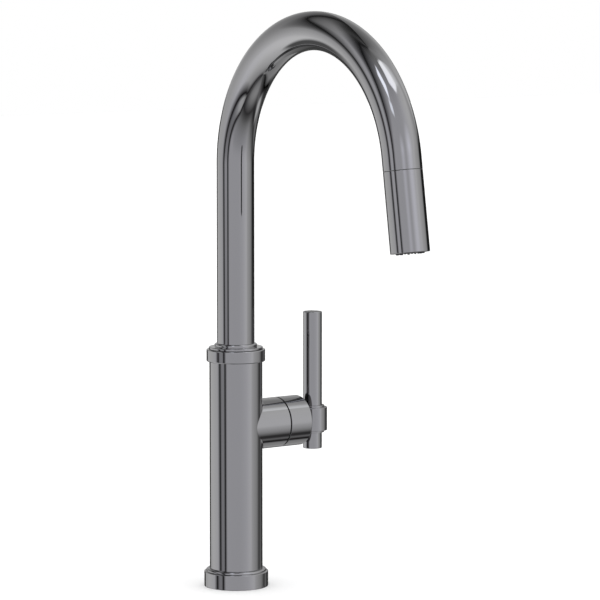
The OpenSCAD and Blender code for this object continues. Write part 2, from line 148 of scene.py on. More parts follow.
class Skin:
    """A mesh made ring by ring, with an exact normal at every corner. A corner is (vertex, normal)."""

    def __init__(self, place=UPRIGHT):
        self.place = place
        self.turn = place.to_3x3()
        self.verts, self.faces, self.normals = [], [], []
        self.inward = False

    def corner(self, point, normal):
        self.verts.append(self.place @ Vector(point))
        return len(self.verts) - 1, Vector(normal)

    def face(self, *corners):
        """A face seen from where its corners run anticlockwise, or from behind while inward is set."""
        if self.inward:
            corners = corners[::-1]
        self.faces.append([vertex for vertex, _ in corners])
        sign = -1 if self.inward else 1
        self.normals.extend(self.turn @ normal * sign for _, normal in corners)

    def strip(self, a, b, closed=True):
        count = len(a)
        for k in range(count if closed else count - 1):
            m = (k + 1) % count
            self.face(a[k], a[m], b[m], b[k])

    def strips(self, rings, closed=True):
        """Strips between each ring and the next. Returns the last ring."""
        for a, b in zip(rings, rings[1:]):
            self.strip(a, b, closed)
        return rings[-1]

    def cap(self, ring, centre, normal):
        """Closes a ring with triangles about a centre point."""
        middle = self.corner(centre, normal)
        flat = facing(ring, normal)
        for k in range(len(flat)):
            self.face(flat[k], flat[(k + 1) % len(flat)], middle)

    def follow(self, ring, at, steps):
        """Carries the skin on from a ring. A step is (radius, along, normal), with two normals on a bend."""
        for radius, along, *normals in steps:
            near = [(vertex, at(k, *normals[0])) for k, (vertex, _) in enumerate(ring)]
            ring = [self.corner(at(k, radius, along), at(k, *normals[-1])) for k in range(len(near))]
            self.strip(near, ring)
        return ring

    def join(self, ring, other, at, normal):
        """Closes the gap between two rings with a strip of one normal."""
        self.strip(
            [(vertex, at(k, *normal)) for k, (vertex, _) in enumerate(ring)],
            [(vertex, at(k, *normal)) for k, (vertex, _) in enumerate(other)],
        )

    def done(self, name):
        mesh = bpy.data.meshes.new(name)
        mesh.from_pydata(self.verts, [], self.faces)
        mesh.polygons.foreach_set("use_smooth", [True] * len(mesh.polygons))
        mesh.normals_split_custom_set([n.normalized() for n in self.normals])
        mesh.update()
        obj = bpy.data.objects.new(name, mesh)
        scene.collection.objects.link(obj)
        return obj


def arc_steps(corner_radius, corner_along, size, first, last, count=5):
    """Steps round an edge: the arc's centre, its radius, and the angles that its normal turns through."""
    angles = [first + (last - first) * s / count for s in range(count + 1)]
    ways = [(math.cos(a), math.sin(a)) for a in angles]
    return [
        (corner_radius + size * after[0], corner_along + size * after[1], before, after)
        for before, after in zip(ways, ways[1:])
    ]


def outline(points, rounds, arc_count):
    """A closed (radius, height) outline with rounded corners, as (start, end, start normal, end normal)."""
    count = len(points)
    area = sum(
        points[i][0] * points[(i + 1) % count][1] - points[(i + 1) % count][0] * points[i][1]
        for i in range(count)
    )
    if area < 0:
        points = points[::-1]
        rounds = {count - 1 - k: size for k, size in rounds.items()}
    pts = [Vector(p) for p in points]
    starts, ends, centres = list(pts), list(pts), [None] * count
    for i, size in rounds.items():
        before = (pts[i - 1] - pts[i]).normalized()
        after = (pts[(i + 1) % count] - pts[i]).normalized()
        half = before.angle(after) / 2
        starts[i] = pts[i] + before * (size / math.tan(half))
        ends[i] = pts[i] + after * (size / math.tan(half))
        centres[i] = pts[i] + (before + after).normalized() * (size / math.sin(half))
    segments = []
    for i in range(count):
        if centres[i] is not None:
            arm, other = starts[i] - centres[i], ends[i] - centres[i]
            sign = 1 if arm.cross(other) > 0 else -1
            sweep = sign * arm.angle(other)
            last, last_normal = starts[i], arm.normalized() * sign
            for k in range(1, arc_count + 1):
                t = sweep * k / arc_count
                spoke = Vector((
                    arm.x * math.cos(t) - arm.y * math.sin(t),
                    arm.x * math.sin(t) + arm.y * math.cos(t),
                ))
                segments.append((last, centres[i] + spoke, last_normal, spoke.normalized() * sign))
                last, last_normal = centres[i] + spoke, spoke.normalized() * sign
        a, b = ends[i], starts[(i + 1) % count]
        if (b - a).length > 1e-9:
            d = (b - a).normalized()
            segments.append((a, b, Vector((d.y, -d.x)), Vector((d.y, -d.x))))
    return segments


def lathe(name, points, rounds=None, place=UPRIGHT, steps=192, arc_count=5, skin=None):
    """A turned solid from a closed (radius, height) outline, with exact normals."""
    segments = outline(points, rounds or {}, arc_count)
    own = skin or Skin(place)
    at = around_z(full_turn(steps))
    rings = []
    for start, _, _, _ in segments:
        if start.x < 1e-9:
            rings.append([own.corner((0, 0, start.y), (0, 0, 1))[0]] * steps)
        else:
            rings.append([own.corner(at(k, start.x, start.y), (0, 0, 1))[0] for k in range(steps)])
    for (start, end, n0, n1), near, far in zip(segments, rings, rings[1:] + rings[:1]):
        if start.x < 1e-9 and end.x < 1e-9:
            continue
        for k in range(steps):
            m = (k + 1) % steps
            corners = [(near[k], at(k, *n0)), (near[m], at(m, *n0))]
            corners += [(far[m], at(m, *n1)), (far[k], at(k, *n1))]
            if start.x < 1e-9:
                corners.pop(1)
            if end.x < 1e-9:
                corners.pop()
            own.face(*corners)
    return own if skin else own.done(name)


def stadium(width, length, offset, share):
    """Point and outward normal on a bar with round ends that is long in q.
    share is how far round it is, from +p toward +q."""
    radius, half = width / 2 + offset, (length - width) / 2
    way = share * (4 * half + 2 * math.pi * radius)
    for sign, turn in ((1, 0), (-1, math.pi)):
        if way < half:
            return (sign * radius, sign * way), (sign, 0)
        way -= half
        if way < math.pi * radius:
            a = turn + way / radius
            return (radius * math.cos(a), sign * half + radius * math.sin(a)), (math.cos(a), math.sin(a))
        way -= math.pi * radius
        if way < half:
            return (-sign * radius, sign * (half - way)), (-sign, 0)
        way -= half
    return (radius, 0), (1, 0)


def pierced_wall(skin, radius, rim, places, half_angle, half_height, spread=12, back=46):
    """The round wall about an opening at angle 0, out to a rectangle and on round the back. places holds
    the (angle, height) of the rim's corners. Returns the wall's lower and upper rings and their angles."""
    turns = len(rim)
    side, eighth = turns // 4, turns // 8

    def on_wall(angle, z):
        normal = Vector((math.cos(angle), math.sin(angle), 0))
        return skin.corner(normal * radius + Vector((0, 0, z)), normal)

    targets = []
    for k in range(turns):
        which, step = divmod(k + eighth, side)
        f = 2 * step / side - 1
        u, v = ((1, f), (-f, 1), (-1, -f), (f, -1))[which % 4]
        targets.append((u * half_angle, v * half_height))
    inner = rim
    for s in range(1, spread + 1):
        ring = [
            on_wall(a + (to_a - a) * s / spread, z + (to_z - z) * s / spread)
            for (a, z), (to_a, to_z) in zip(places, targets)
        ]
        skin.strip(ring, inner)
        inner = ring
    rest = 2 * math.pi - 2 * half_angle
    rows = []
    for j in range(side + 1):
        z = half_height * (2 * j / side - 1)
        middle = [on_wall(half_angle + rest * i / back, z) for i in range(1, back)]
        rows.append([inner[(7 * eighth + j) % turns], *middle, inner[5 * eighth - j]])
    skin.strips(rows, closed=False)
    upper = rows[-1][:-1] + [inner[k] for k in range(3 * eighth, eighth, -1)]
    lower = rows[0][:-1] + [inner[k] for k in range(5 * eighth, 7 * eighth)]
    angles = [half_angle + rest * i / back for i in range(back)]
    angles += [half_angle * (2 * i / side - 1) for i in range(side)]
    return lower, upper, angles


def sweep_tube(name, stations, inner, sides):
    """A tube, or a bar where inner is 0, along stations (point, tangent, radius, lean of the normal)."""
    skin = Skin()
    side = Vector((1, 0, 0))

    def ring(point, tangent, radius, lean, sign):
        up = tangent.cross(side)
        out = []
        for k in range(sides):
            a = 2 * math.pi * k / sides
            spoke = side * math.cos(a) + up * math.sin(a)
            normal = (spoke * math.cos(lean) + tangent * math.sin(lean)) * sign
            out.append(skin.corner(point + spoke * radius, normal))
        return out

    outside = [ring(*station, 1) for station in stations]
    skin.strips(outside)
    start, start_way = stations[0][:2]
    end, end_way = stations[-1][:2]
    if inner:
        inside = [ring(point, tangent, inner, 0, -1) for point, tangent, _, _ in stations]
        skin.strips(inside[::-1])
        skin.strip(facing(inside[0], -start_way), facing(outside[0], -start_way))
        skin.strip(facing(outside[-1], end_way), facing(inside[-1], end_way))
    else:
        skin.cap(outside[0][::-1], start, -start_way)
        skin.cap(outside[-1], end, end_way)
    return skin.done(name)

# ---------- materials


class Value:
    """A node's output that adds, subtracts, multiplies and divides like a number."""

    def __init__(self, tree, socket):
        self.tree, self.socket = tree, socket

    def __add__(self, other):
        return calc("ADD", self, other)

    def __sub__(self, other):
        return calc("SUBTRACT", self, other)

    def __rsub__(self, other):
        return calc("SUBTRACT", other, self)

    def __mul__(self, other):
        return calc("MULTIPLY", self, other)

    def __truediv__(self, other):
        return calc("DIVIDE", self, other)

    def __abs__(self):
        return calc("ABSOLUTE", self)

    __radd__ = __add__
    __rmul__ = __mul__


def calc(operation, *inputs):
    """A math node's result. The inputs are numbers and at least one Value, in whose tree the node is."""
    tree = next(value.tree for value in inputs if isinstance(value, Value))
    node = tree.nodes.new("ShaderNodeMath")
    node.operation = operation
    for socket, value in zip(node.inputs, inputs):
        if isinstance(value, Value):
            tree.links.new(value.socket, socket)
        else:
            socket.default_value = value
    return Value(tree, node.outputs["Value"])


def add_node(tree, kind, setting=None, **inputs):
    """A new shader node. setting is (property, value). An input is a value to set or an output to link."""
    node = tree.nodes.new("ShaderNode" + kind)
    if setting:
        setattr(node, *setting)
    for name, value in inputs.items():
        socket = node.inputs[name.replace("_", " ")]
        if isinstance(value, bpy.types.NodeSocket):
            tree.links.new(value, socket)
        else:
            socket.default_value = value
    return node


def new_material(name):
    material = bpy.data.materials.new(name)
    material.use_nodes = True
    return material, material.node_tree, material.node_tree.nodes["Principled BSDF"].inputs


def noise(tree, scale, detail):
    where = add_node(tree, "TexCoord").outputs["Object"]
    return add_node(tree, "TexNoise", Scale=scale, Detail=detail, Vector=where).outputs["Fac"]


def tint(tree, source, shader, colour_a, colour_b):
    mix = add_node(tree, "Mix", ("data_type", "RGBA"), Factor=source, A=(*colour_a, 1), B=(*colour_b, 1))
    tree.links.new(mix.outputs["Result"], shader["Base Color"])


def raise_by(tree, source, shader, strength, distance):
    lift = add_node(tree, "Bump", Strength=strength, Distance=distance, Height=source)
    tree.links.new(lift.outputs["Normal"], shader["Normal"])


def metal(name, colour_a, colour_b, rough_low, rough_high, bump=0.0):
    material, tree, shader = new_material(name)
    shader["Metallic"].default_value = 1.0
    tint(tree, noise(tree, 18, 3), shader, colour_a, colour_b)
    fine = noise(tree, 300, 4)
    rough = add_node(tree, "MapRange", To_Min=rough_low, To_Max=rough_high, Value=fine)
    tree.links.new(rough.outputs["Result"], shader["Roughness"])
    if bump:
        raise_by(tree, fine, shader, bump, 0.1 * MM)
    return material


def moulded(name, colour_a, colour_b, roughness, bump, scale):
    material, tree, shader = new_material(name)
    shader["Roughness"].default_value = roughness
    grain = noise(tree, scale, 4)
    tint(tree, grain, shader, colour_a, colour_b)
    raise_by(tree, grain, shader, bump, 0.2 * MM)
    return material


def braid(name, place, strands=16, pitch=9 * MM):
    """Woven nylon: two crossing sets of strands wound round the hose's own axis."""
    material, tree, shader = new_material(name)
    shader["Roughness"].default_value = 0.5
    where = add_node(tree, "TexCoord").outputs["Object"]
    turn = place.to_3x3().inverted()
    shift = -(turn @ place.translation)
    local = add_node(tree, "Mapping", Vector=where, Rotation=turn.to_euler(), Location=shift)
    parts = add_node(tree, "SeparateXYZ", Vector=local.outputs["Vector"])
    x, y, z = (Value(tree, output) for output in parts.outputs)
    around = calc("ARCTAN2", y, x) * (strands / 2)
    along = z * (strands * math.pi / pitch)
    one, two = (abs(calc("SINE", angle)) for angle in (around + along, around - along))
    weave = (one * two).socket
    tint(tree, weave, shader, (0.02, 0.02, 0.022), (0.20, 0.20, 0.21))
    raise_by(tree, weave, shader, 0.7, HOSE_R / 12)
    return material


HOSE_R = 5.5 * MM
MATERIALS = {name: make(name, *look) for name, make, *look in (
    ("gunmetal", metal, (0.261, 0.260, 0.265), (0.267, 0.266, 0.271), 0.045, 0.065),
    ("brass", metal, (0.62, 0.44, 0.20), (0.70, 0.52, 0.26), 0.22, 0.34, 0.2),
    ("steel", metal, (0.52, 0.52, 0.54), (0.62, 0.62, 0.64), 0.2, 0.32, 0.15),
    ("black_plastic", moulded, (0.030, 0.030, 0.033), (0.045, 0.045, 0.048), 0.42, 0.25, 900),
    ("white_plastic", moulded, (0.76, 0.76, 0.73), (0.84, 0.84, 0.81), 0.35, 0.1, 500),
    ("ceramic", moulded, (0.82, 0.80, 0.75), (0.88, 0.86, 0.82), 0.18, 0.03, 700),
    ("rubber", moulded, (0.018, 0.018, 0.018), (0.03, 0.03, 0.03), 0.7, 0.3, 1200),
    ("silicone", moulded, (0.10, 0.10, 0.11), (0.14, 0.14, 0.15), 0.5, 0.15, 900),
    ("hose_braid", braid, WAND_AXIS),
)}
SLOT_OF = {s["node"]: s["material_slot"] for s in frame["record"]["subparts"]}
BODY_OF = {n: b for b, members in frame["record"]["behaviour"]["bodies"].items() for n in members}


def stands_for(piece, *nodes, material=None):
    """The piece takes the nodes' place, on their body and with the first one's material slot and material."""
    piece.data.materials.append(material or MATERIALS[SLOT_OF[nodes[0]]])
    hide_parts(*nodes)
    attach(piece, BODY_OF[nodes[0]])


for node_name, node in frame["nodes"].items():
    node.data.materials.clear()
    node.data.materials.append(MATERIALS[SLOT_OF[node_name]])

# ---------- camera

camera_data = bpy.data.cameras.new("camera")
camera_data.lens = 208.07
camera_data.sensor_width = 36
camera = bpy.data.objects.new("camera", camera_data)
scene.collection.objects.link(camera)
LOOK_DOWN = math.radians(6.146)
LOOK_SIDE = math.radians(36.51)
forward = Vector((
    math.sin(LOOK_SIDE) * math.cos(LOOK_DOWN), math.cos(LOOK_SIDE) * math.cos(LOOK_DOWN), -math.sin(LOOK_DOWN)
))
camera.location = (-1.5987, -2.2461, 0.528)
camera.rotation_mode = "QUATERNION"
camera.rotation_quaternion = forward.to_track_quat("-Z", "Y")
scene.camera = camera

# ---------- base and column

FLANGE_R = high("base_flange").x
FLANGE_TOP = high("base_flange").z
FLANGE_BORE_R = COLUMN_R + 0.15 * MM
SHOULDER_R = 24.2 * MM
RECESS_TOP = 1.7 * MM
flange = lathe(
    "flange",
    [
        (FLANGE_BORE_R, RECESS_TOP), (23.9 * MM, RECESS_TOP), (24 * MM, 0), (FLANGE_R, 0),
        (FLANGE_R, 12 * MM), (24.9 * MM, 12.45 * MM), (SHOULDER_R, 12.6 * MM), (SHOULDER_R, FLANGE_TOP),
        (FLANGE_BORE_R, FLANGE_TOP),
    ],
    {3: 0.35 * MM, 4: 0.5 * MM, 5: 0.12 * MM, 7: 1.5 * MM},
)
stands_for(flange, "base_flange")

TURNS = 288          # corners round the meeting of the boss and the column
BORE_R = 18.5 * MM
BOSS_BORE_R = 16 * MM
NECK_R = 16.9 * MM
BOSS_FACE = HUB_START - 1.2 * MM
NECK_END = high("column_body").x
COLUMN_FLOOR = 10 * MM
SHANK_HOLE_R = 15.05 * MM
LIP_R = COLUMN_R - 0.25 * MM
LIP_TOP = high("column_body").z
BOSS_FILLET = 1.5 * MM
about_boss = around_x(full_turn(TURNS))


def tee(skin, wall_r, side_r, fillet, side_end, half_height):
    """The walls of a round column and a round side arm, joined by a fillet. Returns the lower, upper and
    side rings, and the angles of the first two."""
    roll_steps, side_steps = 6, 6
    rolls, places = [[] for _ in range(roll_steps + 1)], []
    for k in range(TURNS):
        centre = about_boss(k, side_r + fillet, 0)
        centre.x = math.sqrt((wall_r + fillet) ** 2 - centre.y ** 2)
        angle = math.atan2(centre.y, centre.x)
        places.append((angle, centre.z))
        to_wall = Vector((-math.cos(angle), -math.sin(angle), 0))
        to_side = about_boss(k, -1, 0)
        for s, roll in enumerate(rolls):
            spoke = to_wall.slerp(to_side, s / roll_steps)
            roll.append(skin.corner(centre + spoke * fillet, -spoke))
    begins = [(skin.place.inverted() @ skin.verts[vertex]).x for vertex, _ in rolls[-1]]
    arm = [
        [
            skin.corner(about_boss(k, side_r, x + (side_end - x) * s / side_steps), about_boss(k, 1, 0))
            for k, x in enumerate(begins)
        ]
        for s in range(1, side_steps + 1)
    ]
    side = skin.strips(rolls + arm)
    lower, upper, angles = pierced_wall(skin, wall_r, rolls[0], places, math.radians(110), half_height)
    return lower, upper, side, angles


def build_column():
    skin = Skin(Matrix.Translation((0, 0, BOSS_Z)))
    edge = 0.25 * MM
    lower, upper, side, angles = tee(skin, COLUMN_R, BOSS_R, BOSS_FILLET, BOSS_FACE - edge, 40 * MM)
    skin.inward = True
    in_lower, in_upper, in_side, _ = tee(skin, BORE_R, BOSS_BORE_R, 0.3 * MM, NECK_END - 1 * MM, 36 * MM)
    skin.inward = False
    about_z = around_z(angles)
    side = skin.follow(side, about_boss, arc_steps(BOSS_R - edge, BOSS_FACE - edge, edge, 0, math.pi / 2))
    side = skin.follow(side, about_boss, [
        (NECK_R, BOSS_FACE, UP), (NECK_R, NECK_END, OUT), (BOSS_BORE_R, NECK_END, UP),
    ])
    skin.join(side, in_side, about_boss, BACK)
    top, bottom, floor = COLUMN_TOP - BOSS_Z, COLUMN_LOW - BOSS_Z, COLUMN_FLOOR - BOSS_Z
    upper = skin.follow(upper, about_z, [
        (COLUMN_R, top, OUT), (LIP_R, top, UP), (LIP_R, LIP_TOP - BOSS_Z, OUT),
        (BORE_R, LIP_TOP - BOSS_Z, UP),
    ])
    skin.join(upper, in_upper, about_z, BACK)
    in_lower = skin.follow(in_lower, about_z, [
        (BORE_R, floor, BACK), (SHANK_HOLE_R, floor, UP), (SHANK_HOLE_R, bottom, BACK),
        (COLUMN_R, bottom, DOWN),
    ])
    skin.join(in_lower, lower, about_z, OUT)
    return skin.done("column")


stands_for(build_column(), "column_body")

# ---------- fixing below the deck

SHANK_R = high("threaded_shank").x
SHANK_BORE_R = 13 * MM
SHANK_LOW = low("threaded_shank").z
SHANK_TOP = high("threaded_shank").z


def threaded_rings(skin, radius, depth, pitch, low_z, high_z, steps=96, rows_a_turn=8):
    """A screw thread's surface up a round bar, fading out over its first and last turn."""
    rows = round((high_z - low_z) / pitch * rows_a_turn)
    at = around_z(full_turn(steps))
    rings = []
    for j in range(rows + 1):
        z = low_z + (high_z - low_z) * j / rows
        fade = max(0.0, min(1.0, (z - low_z) / pitch, (high_z - z) / pitch))
        ring = []
        for k in range(steps):
            phase = (z / pitch - k / steps) % 1
            crest = min(1.0, max(0.0, 1.6 - abs(phase - 0.5) * 4)) * fade
            slope = (4 * depth / pitch if 0 < crest < 1 else 0) * (1 if phase > 0.5 else -1)
            r = radius - depth + depth * crest
            ring.append(skin.corner(at(k, r, z), at(k, 1, slope).normalized()))
        rings.append(ring)
    return rings[0], skin.strips(rings)


def build_shank():
    steps, depth, edge = 96, 0.8 * MM, 0.6 * MM
    pilot_r = SHANK_R - depth
    skin = Skin()
    about_z = around_z(full_turn(steps))
    thread_low, thread_high = SHANK_LOW + 11 * MM, -31 * MM
    first, last = threaded_rings(skin, SHANK_R, depth, 2 * MM, thread_low, thread_high, steps)
    last = skin.follow(last, about_z, [
        (pilot_r, -30 * MM, OUT), (SHANK_R, -30 * MM, DOWN), (SHANK_R, 0, OUT),
        (SHANK_R - 1 * MM, 0, UP), (SHANK_R - 1 * MM, SHANK_TOP, OUT),
        (SHANK_BORE_R, SHANK_TOP, UP), (SHANK_BORE_R, SHANK_LOW, BACK),
        (pilot_r - edge, SHANK_LOW, DOWN),
        *arc_steps(pilot_r - edge, SHANK_LOW + edge, edge, -math.pi / 2, 0),
    ])
    skin.join(last, first, about_z, OUT)
    return skin.done("shank")


stands_for(build_shank(), "threaded_shank")


def hex_block(skin, corner_r, bore_r, low_z, high_z, steps=96):
    """A six-sided nut or head with its corners turned off, solid where bore_r is 0."""
    flat_r = corner_r * math.cos(math.pi / 6)
    turned_r = (corner_r + flat_r) / 2
    about_z = around_z(full_turn(steps))

    def ring(z, turned, end):
        """At one end, -1 or 1: the turned circle, or the line where its cone meets the six sides."""
        out = []
        for k in range(steps):
            a = 2 * math.pi * k / steps
            off = a % (math.pi / 3) - math.pi / 6
            r = flat_r / math.cos(off)
            drop = 0 if turned else end * max(0.0, r - turned_r) * math.tan(math.pi / 6)
            if turned:
                r = min(r, turned_r)
            out.append(skin.corner(about_z(k, r, z - drop), (math.cos(a - off), math.sin(a - off), 0)))
        return out

    edges = [ring(low_z, True, -1), ring(low_z, False, -1), ring(high_z, False, 1), ring(high_z, True, 1)]
    cones = [
        [(vertex, Vector((n.x * 0.5, n.y * 0.5, end * 0.87))) for vertex, n in edge]
        for edge, end in zip(edges, (-1, -1, 1, 1))
    ]
    skin.strip(cones[0], cones[1])
    for k in range(steps):
        m = (k + 1) % steps
        middle = 2 * math.pi * (k + 0.5) / steps
        side = middle - (middle % (math.pi / 3) - math.pi / 6)
        n = Vector((math.cos(side), math.sin(side), 0))
        skin.face((edges[1][k][0], n), (edges[1][m][0], n), (edges[2][m][0], n), (edges[2][k][0], n))
    skin.strip(cones[2], cones[3])
    if bore_r <= 0:
        skin.cap(edges[3], (0, 0, high_z), (0, 0, 1))
        skin.cap(edges[0][::-1], (0, 0, low_z), (0, 0, -1))
        return
    inner = skin.follow(edges[3], about_z, [(bore_r, high_z, UP), (bore_r, low_z, BACK)])
    skin.join(inner, edges[0], about_z, DOWN)


nut_skin = Skin()
hex_block(nut_skin, high("mounting_nut").x, SHANK_R + 0.1 * MM, low("mounting_nut").z, high("mounting_nut").z)
stands_for(nut_skin.done("nut"), "mounting_nut")
for node_name, edge in (("deck_washer", 0.6 * MM), ("clamp_plate", 0.4 * MM)):
    outer, z0, z1 = high(node_name).x, low(node_name).z, high(node_name).z
    hole = SHANK_R + 0.3 * MM
    ring_piece = lathe(
        node_name + "_ring", [(hole, z0), (outer, z0), (outer, z1), (hole, z1)],
        {0: 0.2 * MM, 1: edge, 2: edge, 3: 0.2 * MM},
    )
    stands_for(ring_piece, node_name)

JACK_HEAD_R = 4.2 * MM
JACK_Y = high("jack_screws").y - JACK_HEAD_R * math.cos(math.pi / 6)


def build_jack_screws():
    skin = Skin()
    about_z = around_z(full_turn(48))
    thread_r, depth, pitch, point_r = 2.45 * MM, 0.3 * MM, 0.8 * MM, 1.8275 * MM
    head_top, tip_z = low("jack_screws").z + 4 * MM, high("jack_screws").z
    for sign in (-1, 1):
        skin.place = Matrix.Translation((0, sign * JACK_Y, 0))
        hex_block(skin, JACK_HEAD_R, 0, low("jack_screws").z, head_top, 48)
        first, last = threaded_rings(skin, thread_r, depth, pitch, head_top, tip_z - 1 * MM, 48, 6)
        skin.cap(first[::-1], (0, 0, head_top), (0, 0, -1))
        tip = [skin.corner(about_z(k, point_r, tip_z), normal) for k, (_, normal) in enumerate(last)]
        skin.strip(last, tip)
        skin.cap(tip, (0, 0, tip_z), (0, 0, 1))
    return skin.done("jack_screw_pair")


stands_for(build_jack_screws(), "jack_screws")

# ---------- collar and spout

COLLAR_R = high("collar_ring").x
COLLAR_TOP = high("collar_ring").z
COLLAR_BORE_R = 17.3 * MM
collar = lathe(
    "collar",
    [
        (LIP_R + 0.05 * MM, COLUMN_TOP), (COLLAR_R, COLUMN_TOP), (COLLAR_R, COLLAR_TOP),
        (COLLAR_BORE_R, COLLAR_TOP), (COLLAR_BORE_R, COLLAR_TOP - 2.5 * MM),
        (LIP_R + 0.05 * MM, COLLAR_TOP - 2.5 * MM),
    ],
    {1: 0.8 * MM, 2: 0.8 * MM, 3: 0.2 * MM},
)
stands_for(collar, "collar_ring")

STEP_R = high("spout_base").x
BEAD_TOP = high("spout_base").z
STEP_TOP = BEAD_TOP - 2.8 * MM
SPIGOT_LOW = low("spout_base").z
SPIGOT_R = 17 * MM
SPIGOT_BORE_R = 13 * MM
SOCKET_LOW = COLLAR_TOP - 6 * MM
spout_foot = lathe(
    "spout_foot",
    [
        (SPIGOT_BORE_R, SPIGOT_LOW), (SPIGOT_R, SPIGOT_LOW), (SPIGOT_R, COLLAR_TOP + 0.15 * MM),
        (STEP_R, COLLAR_TOP + 0.15 * MM), (STEP_R, STEP_TOP), (SPIGOT_R, STEP_TOP), (SPIGOT_R, BEAD_TOP),
        (TUBE_R + 0.05 * MM, BEAD_TOP), (TUBE_R + 0.05 * MM, SOCKET_LOW), (SPIGOT_BORE_R, SOCKET_LOW),
    ],
    {3: 0.15 * MM, 4: 0.5 * MM, 5: 0.12 * MM, 6: 1.3 * MM},
    arc_count=8,
)
stands_for(spout_foot, "spout_base")

SEAM_AT = along_wand("wand_shell")[0]
SEAM_GAP = 0.2 * MM
SEAM_EDGE = 0.25 * MM
TUBE_BORE_R = TUBE_R - 1.2 * MM


def arch_point(angle):
    return Vector((0, -ARC_R + ARC_R * math.cos(angle), ARC_Z + ARC_R * math.sin(angle)))


def arch_tangent(angle):
    return Vector((0, -math.sin(angle), math.cos(angle)))


def spout_stations():
    """Stations up the riser, round the arch and down to the seam, where the edge is slightly rounded."""
    start_z, riser_steps, bend_steps, edge_count = low("gooseneck_tube").z, 8, 160, 5
    out = []
    for k in range(riser_steps):
        z = start_z + (ARC_Z - start_z) * k / riser_steps
        out.append((Vector((0, 0, z)), Vector((0, 0, 1)), TUBE_R, 0))
    for k in range(bend_steps + 1):
        a = SWEEP * k / bend_steps
        out.append((arch_point(a), arch_tangent(a), TUBE_R, 0))
    for k in range(edge_count + 1):
        a = math.pi / 2 * k / edge_count
        past = SEAM_AT - SEAM_GAP - SEAM_EDGE * (1 - math.sin(a))
        out.append((ARC_END + PULL * past, PULL.copy(), TUBE_R - SEAM_EDGE * (1 - math.cos(a)), a))
    return out


spout = sweep_tube("spout_tube", spout_stations(), TUBE_BORE_R, 128)
stands_for(spout, "gooseneck_tube", "spout_end_sleeve")

# ---------- lever

ROD_LOW, ROD_HIGH = low("lever_rod").z, high("lever_rod").z
rod = lathe(
    "rod", [(0, ROD_LOW), (ROD_R, ROD_LOW), (ROD_R, ROD_HIGH), (0, ROD_HIGH)],
    {1: 0.5 * MM, 2: 0.5 * MM}, ROD_AXIS, 128,
)
stands_for(rod, "lever_rod")

BARREL_R = high("lever_collar").x - ROD_X
BARREL_HALF = 18.9 / 2 * MM
COLLAR_HALF = high("lever_collar").z - BOSS_Z
END_RING_R = 9.6 * MM
ROD_HOLE_R = ROD_R + 0.05 * MM
rod_collar = lathe(
    "rod_collar",
    [
        (ROD_HOLE_R, BOSS_Z - COLLAR_HALF), (END_RING_R, BOSS_Z - COLLAR_HALF),
        (END_RING_R, BOSS_Z - BARREL_HALF), (BARREL_R, BOSS_Z - BARREL_HALF),
        (BARREL_R, BOSS_Z + BARREL_HALF), (END_RING_R, BOSS_Z + BARREL_HALF),
        (END_RING_R, BOSS_Z + COLLAR_HALF), (ROD_HOLE_R, BOSS_Z + COLLAR_HALF),
    ],
    {1: 0.2 * MM, 2: 0.12 * MM, 3: 0.35 * MM, 4: 0.35 * MM, 5: 0.12 * MM, 6: 0.2 * MM},
    ROD_AXIS, 144,
)
stands_for(rod_collar, "lever_collar")

ARM_R = high("lever_arm").y
ARM_START = low("lever_arm").x


def build_arm():
    """The short arm between hub and rod, with a socket for the stem and a saddle for the rod's collar."""
    steps, socket_r, socket_end, edge = 96, 4.98 * MM, 61 * MM, 0.3 * MM
    skin = Skin(Matrix.Translation((0, 0, BOSS_Z)))
    around = around_x(full_turn(steps))

    def saddle(y):
        return ROD_X - math.sqrt((BARREL_R + 0.03 * MM) ** 2 - y * y)

    floor = [skin.corner(around(k, socket_r, socket_end), (-1, 0, 0)) for k in range(steps)]
    skin.cap(floor[::-1], (socket_end, 0, 0), (-1, 0, 0))
    corner = arc_steps(ARM_R - edge, ARM_START + edge, edge, -math.pi / 2, 0)
    rings = [skin.follow(floor, around, [
        (socket_r, ARM_START, BACK), (ARM_R - edge, ARM_START, DOWN), *corner,
    ])]
    start = ARM_START + edge
    for s in range(1, 5):
        reach = [start + (saddle(around(k, ARM_R, 0).y) - start) * s / 4 for k in range(steps)]
        rings.append([skin.corner(around(k, ARM_R, x), around(k, 1, 0)) for k, x in enumerate(reach)])
    ring = skin.strips(rings)
    for share in (0.66, 0.33):
        inner = []
        for k in range(steps):
            point = around(k, ARM_R * share, 0)
            point.x = saddle(point.y)
            inner.append(skin.corner(point, (1, 0, 0)))
        skin.strip(facing(ring, (1, 0, 0)), inner)
        ring = inner
    skin.cap(ring, (saddle(0), 0, 0), (1, 0, 0))
    return skin.done("arm")


stands_for(build_arm(), "lever_arm")

HUB_BORE_R = 18.3 * MM
HUB_WALL = 3 * MM
SLOT_LOW, SLOT_HIGH = -4.8 * MM, 0.4 * MM
SLOT_R = ARM_R + 0.3 * MM


